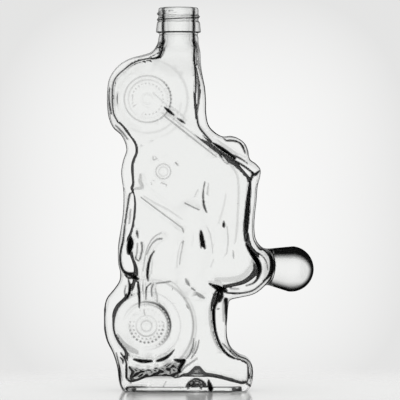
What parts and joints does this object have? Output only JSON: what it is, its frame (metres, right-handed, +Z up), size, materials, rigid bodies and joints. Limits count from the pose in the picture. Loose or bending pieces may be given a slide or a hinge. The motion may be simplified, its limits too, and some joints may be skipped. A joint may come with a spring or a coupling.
{
  "type": "glass bottle",
  "caption": "Clear moulded glass bottle in the form of a rider on a motorcycle standing on its rear wheel, with a screw finish.",
  "frame": {"origin": "below the middle of the bottle's box, on the surface it stands on", "axes": "+Z up along the neck, +X towards the rider's head, +Y from the front face of the relief to the back face"},
  "size_m": [0.1342, 0.0428, 0.245],
  "materials": {
    "clear_glass": "clear flint glass, fire polished"
  },
  "bodies": {
    "root": {"finish": "clear_glass", "neck": "clear_glass", "front_shell": "clear_glass", "back_shell": "clear_glass", "base": "clear_glass", "rider_head": "clear_glass"}
  },
  "joints": []
}
